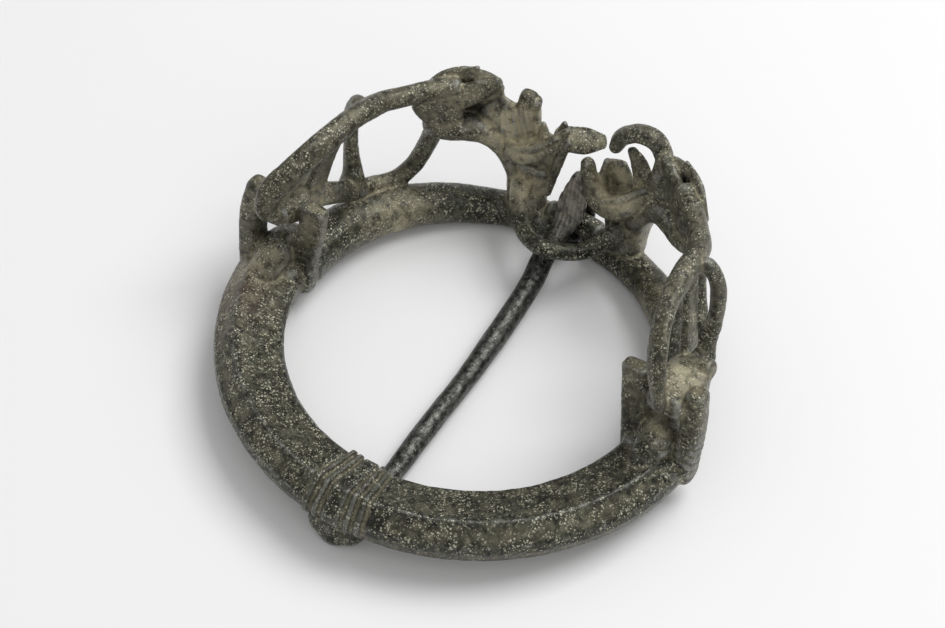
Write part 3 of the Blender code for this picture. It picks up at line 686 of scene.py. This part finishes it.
def edges_worn(points, normals, bend):
    """Sharp edges are rubbed, less so on the collar's ribs."""
    on_collar = (np.hypot(points[:, 0], points[:, 1] + 35.0) < 9.0) & (points[:, 1] < -24.0)
    return (-bend / FULL_WEAR_BEND - WEAR_START) * np.where(on_collar, COLLAR_WEAR_SHARE, 1.0)


def dust(points, normals, bend):
    """Khaki burial dust: thick where the crest springs from the bar, thin on the ring."""
    total = np.zeros(len(points))
    for centre, radius, strength in DUSTY_PLACES:
        total = np.maximum(total, strength * near(points, centre, radius))
    flutes = stripes(points[:, 0] + FLUTE_LEAN * points[:, 2], FLUTE_SPACING)
    total -= 0.6 * near(points, (-10.0, 29.8, 22.5), 3.5) * flutes ** 3
    crest = 0.12 * np.clip((points[:, 2] - 9.0) / 5.0, 0.0, 1.0)
    return total * (0.95 + 0.5 * noise(points, 2.2, SEED + 5)) + crest + 0.02


def pin_dust(points, normals, bend):
    """The pin's head keeps more dirt than its handled shaft, between its draw lines."""
    lines = stripes(points[:, 0] + PIN_LINE_LEAN * points[:, 2], PIN_LINE_SPACING)
    return near(points, (PIN_HINGE_X, 29.0, 11.0), 6.0) * (1.1 - 0.75 * lines ** 2) + 0.03


def unstained(points, normals, bend):
    """No stain at all."""
    return 0.0 * bend


def painted_recess_shade(points, normals, bend):
    """Painted shade: near-black in the hollow shoulders and under the heads, where shade falls."""
    total = np.zeros(len(points))
    for centre, radius in PAINTED_SHADE_PLACES:
        total = np.maximum(total, near(points, centre, radius))
    return 1.3 * total


def rust_brown(points, normals, bend):
    """A reddish-brown stain on the ring's outer left side."""
    return near(points, RUST_PLACE, RUST_RADIUS) * (0.9 + 0.5 * noise(points, 3.0, SEED + 6))


def node(tree, kind, place, **values):
    """A shader node at a place in the node editor, with its settings."""
    made = tree.nodes.new(kind)
    made.location = place
    for key, value in values.items():
        setattr(made, key, value)
    return made


def link(tree, source, target):
    """Lead one node's output to another's input."""
    tree.links.new(source, target)


def ramp(tree, source, stops, place):
    """A ramp with stops of (position, grey)."""
    made = node(tree, "ShaderNodeValToRGB", place)
    elements = made.color_ramp.elements
    while len(elements) < len(stops):
        elements.new(0.5)
    for element, (position, grey) in zip(elements, stops):
        element.position = position
        element.color = (grey, grey, grey, 1.0)
    link(tree, source, made.inputs["Fac"])
    return made.outputs["Color"]


def blend(tree, low, high, amount, place, mode="MIX"):
    """One colour over another, by an amount."""
    made = node(tree, "ShaderNodeMix", place, data_type="RGBA", blend_type=mode)
    for socket, value in ((made.inputs[6], low), (made.inputs[7], high), (made.inputs[0], amount)):
        if isinstance(value, bpy.types.NodeSocket):
            link(tree, value, socket)
        elif isinstance(value, tuple):
            socket.default_value = (*value, 1.0)
        else:
            socket.default_value = value
    return made.outputs[2]


def maths(tree, operation, first, second, place, clamp=False):
    """The sum, product or larger of two numbers or sockets."""
    made = node(tree, "ShaderNodeMath", place, operation=operation, use_clamp=clamp)
    for socket, value in zip(made.inputs, (first, second)):
        if isinstance(value, bpy.types.NodeSocket):
            link(tree, value, socket)
        else:
            socket.default_value = value
    return made.outputs[0]


def cloud(tree, coordinates, size, detail, place, rough=0.6):
    """Noise with lumps of the given size in millimetres."""
    made = node(tree, "ShaderNodeTexNoise", place)
    made.inputs["Scale"].default_value = 1.0 / (size * MM)
    made.inputs["Detail"].default_value = detail
    made.inputs["Roughness"].default_value = rough
    link(tree, coordinates, made.inputs["Vector"])
    return made.outputs["Fac"]


def specks(tree, coordinates, size, share, place):
    """Scattered grains of the given size in millimetres, on a share of the surface."""
    cells = node(tree, "ShaderNodeTexVoronoi", place)
    cells.inputs["Scale"].default_value = 1.0 / (size * MM)
    link(tree, coordinates, cells.inputs["Vector"])
    x, y = place
    step = 1.0 - share
    lone = ramp(tree, cells.outputs["Color"], [(step - 0.02, 0.0), (step + 0.02, 1.0)], (x + 200, y))
    core = ramp(tree, cells.outputs["Distance"], [(0.2, 1.0), (0.5, 0.0)], (x + 200, y - 220))
    return maths(tree, "MULTIPLY", lone, core, (x + 500, y))


def attribute(tree, name, place):
    """One of the painted layers."""
    return node(tree, "ShaderNodeAttribute", place, attribute_name=name).outputs["Fac"]


def bronze(name, dark, light, dust_colour, speck_colour, speck_amount, roughness, metallic):
    """Patinated bronze: two olive tones, pale grains, dust in hollows, stains, rubbed edges, painted shade in
    recesses.
    """
    material = bpy.data.materials.new(name)
    material.use_nodes = True
    tree = material.node_tree
    shader = tree.nodes["Principled BSDF"]
    coordinates = node(tree, "ShaderNodeTexCoord", (-2200, 0)).outputs["Object"]

    broad = cloud(tree, coordinates, 4.0, 6.0, (-1900, 400))
    tones = ramp(tree, broad, [(0.38, 0.0), (0.62, 1.0)], (-1650, 400))
    colour = blend(tree, dark, light, tones, (-1300, 400))
    mottling = cloud(tree, coordinates, 0.8, 6.0, (-1900, 100))
    fine = ramp(tree, mottling, [(0.4, 0.2), (0.6, 2.5)], (-1650, 100))
    colour = blend(tree, colour, fine, 1.0, (-1100, 300), "MULTIPLY")

    stain = attribute(tree, "stain", (-1300, -100))
    colour = blend(tree, colour, RUST_BROWN, stain, (-900, 200))

    clots = cloud(tree, coordinates, 1.6, 5.0, (-1900, -700))
    patches = ramp(tree, clots, [(0.38, 0.3), (0.54, 1.15)], (-1650, -700))
    dusty = maths(tree, "MULTIPLY", attribute(tree, "dust", (-1300, -300)), patches, (-1000, -400))
    hollow = maths(tree, "MULTIPLY", attribute(tree, "hollow", (-1300, -500)), 0.22, (-1000, -600))
    dusty = maths(tree, "ADD", dusty, hollow, (-800, -400), True)
    dusty = maths(tree, "MULTIPLY", dusty, 0.85, (-700, -500), True)
    colour = blend(tree, colour, dust_colour, dusty, (-700, 200))

    big = specks(tree, coordinates, 0.46, 0.36, (-1900, -1100))
    small = specks(tree, coordinates, 0.26, 0.4, (-1900, -1500))
    grains = maths(tree, "MAXIMUM", big, small, (-1200, -1300))
    crowds = cloud(tree, coordinates, 2.4, 4.0, (-1900, -1900))
    thick = ramp(tree, crowds, [(0.4, 0.1), (0.56, 1.0)], (-1650, -1900))
    grains = maths(tree, "MULTIPLY", grains, thick, (-1000, -1300))
    grains = maths(tree, "MULTIPLY", grains, speck_amount, (-800, -1300), True)
    colour = blend(tree, colour, speck_colour, grains, (-500, 200))

    rubbed = maths(tree, "MULTIPLY", attribute(tree, "rub", (-1300, -2200)), 0.7, (-1000, -2200), True)
    colour = blend(tree, colour, RUBBED_METAL, rubbed, (-300, 200))
    # Painted shade: near-black laid over the recesses where shade falls
    painted_shade = maths(tree, "MULTIPLY", attribute(tree, "painted_shade", (-1300, -2500)), 0.9, (-1000, -2500), True)
    colour = blend(tree, colour, PAINTED_SHADE_COLOUR, painted_shade, (-100, 200))
    link(tree, colour, shader.inputs["Base Color"])

    shine = maths(tree, "MULTIPLY", rubbed, -0.22, (-500, -700))
    dull = maths(tree, "MULTIPLY", dusty, 0.25, (-500, -900))
    rough = maths(tree, "ADD", maths(tree, "ADD", shine, dull, (-300, -800)), roughness, (-150, -800), True)
    link(tree, rough, shader.inputs["Roughness"])
    shader.inputs["Metallic"].default_value = metallic
    shader.inputs["Specular IOR Level"].default_value = 0.35

    bump = node(tree, "ShaderNodeBump", (-200, -1200))
    bump.inputs["Strength"].default_value = 0.8
    bump.inputs["Distance"].default_value = 0.12 * MM
    height = maths(tree, "ADD", cloud(tree, coordinates, 0.4, 5.0, (-900, -1700), 0.7),
                   maths(tree, "MULTIPLY", grains, 0.6, (-650, -1500)), (-450, -1500))
    link(tree, height, bump.inputs["Height"])
    link(tree, bump.outputs["Normal"], shader.inputs["Normal"])
    return material


def plain(name, colour, roughness):
    """An even, matt material."""
    material = bpy.data.materials.new(name)
    material.use_nodes = True
    shader = material.node_tree.nodes["Principled BSDF"]
    shader.inputs["Base Color"].default_value = (*colour, 1.0)
    shader.inputs["Roughness"].default_value = roughness
    return material


def ring_place(frame):
    """The matrix that carries the ring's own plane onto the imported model, found from the pin's hinge."""
    joint = frame["joints"][0]
    hinge = Vector(joint["pos_m"])
    turn = Matrix.Rotation(-rest_tilt(), 4, "X")
    home = Vector((PIN_HINGE_X, BAR_RADIUS, HINGE_NECK_HEIGHT)) * MM
    return Matrix.Translation(hinge - turn @ home) @ turn


def add_camera(place):
    """The photograph's camera: its place and turn were fitted to the ring's outline."""
    around = math.radians(CAMERA_AROUND)
    above = math.radians(CAMERA_ABOVE)
    roll = math.radians(CAMERA_ROLL)
    back = Vector((math.sin(around) * math.cos(above), -math.cos(around) * math.cos(above), math.sin(above)))
    level = Vector((math.cos(around), math.sin(around), 0.0))
    rise = back.cross(level)
    right = level * math.cos(roll) + rise * math.sin(roll)
    up = rise * math.cos(roll) - level * math.sin(roll)
    eye = level * CAMERA_SIDEWAYS + rise * CAMERA_LIFT + back * CAMERA_DISTANCE
    eye.z += CAMERA_TARGET_HEIGHT
    turn = Matrix((right, up, back)).transposed().to_4x4()
    lens = bpy.data.cameras.new("camera")
    lens.sensor_width = SENSOR_WIDTH
    lens.lens = FOCAL_PIXELS * SENSOR_WIDTH / PHOTO_WIDTH
    lens.clip_start = 0.01
    camera = bpy.data.objects.new("camera", lens)
    camera.matrix_world = place @ Matrix.Translation(eye * MM) @ turn
    bpy.context.scene.collection.objects.link(camera)
    bpy.context.scene.camera = camera


def add_light(name, place, size, power):
    """A square light that faces the brooch."""
    lamp = bpy.data.lights.new(name, "AREA")
    lamp.size = size
    lamp.energy = power
    light = bpy.data.objects.new(name, lamp)
    light.location = place
    light.rotation_euler = (-Vector(place)).to_track_quat("-Z", "Y").to_euler()
    bpy.context.scene.collection.objects.link(light)


def add_studio():
    """A pale floor under soft light from behind on the right, in a soft white room."""
    bpy.ops.mesh.primitive_plane_add(size=FLOOR_SIZE, location=(0.0, 0.0, -FLOOR_DROP))
    floor = bpy.context.object
    floor.name = "floor"
    floor.data.materials.append(plain("pale floor", FLOOR_COLOUR, 0.8))
    add_light("key", KEY_PLACE, KEY_SIZE, KEY_POWER)
    add_light("fill", FILL_PLACE, FILL_SIZE, FILL_POWER)
    world = bpy.data.worlds.new("soft room")
    world.use_nodes = True
    room = world.node_tree.nodes["Background"]
    room.inputs["Color"].default_value = (1.0, 1.0, 1.0, 1.0)
    room.inputs["Strength"].default_value = ROOM_LIGHT
    bpy.context.scene.world = world
    bpy.context.scene.view_settings.view_transform = "Standard"


def main():
    """Camera, studio and the two castings with their patina."""
    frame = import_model()
    place = ring_place(frame)
    add_camera(place)
    add_studio()

    olive = bronze("patinated bronze", DARK_OLIVE, LIGHT_OLIVE, KHAKI_EARTH, PALE_GRAINS,
                   speck_amount=0.8, roughness=0.3, metallic=0.35)
    grey = bronze("worn grey bronze", DARK_GREY, LIGHT_GREY, GREY_EARTH, GREY_GRAINS,
                  speck_amount=0.3, roughness=0.24, metallic=0.75)

    body = fine_cast("fine_brooch_body", BODY_SHAPES, BODY_VOXEL, BODY_TRIANGLES, carve_body, place)
    # Layers of dirt, wear and stain, and one of painted shade in the recesses
    paint(body, place, {"hollow": hollows, "rub": edges_worn, "dust": dust, "stain": rust_brown,
                       "painted_shade": painted_recess_shade})
    body.data.materials.append(olive)
    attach(body, "brooch")
    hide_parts("brooch_body")

    pin = fine_cast("fine_pin", PIN_SHAPES, PIN_VOXEL, PIN_TRIANGLES, carve_pin, place)
    paint(pin, place, {"hollow": hollows, "rub": edges_worn, "dust": pin_dust, "stain": unstained,
                      "painted_shade": unstained})
    pin.data.materials.append(grey)
    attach(pin, "pin")
    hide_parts("pin")


main()
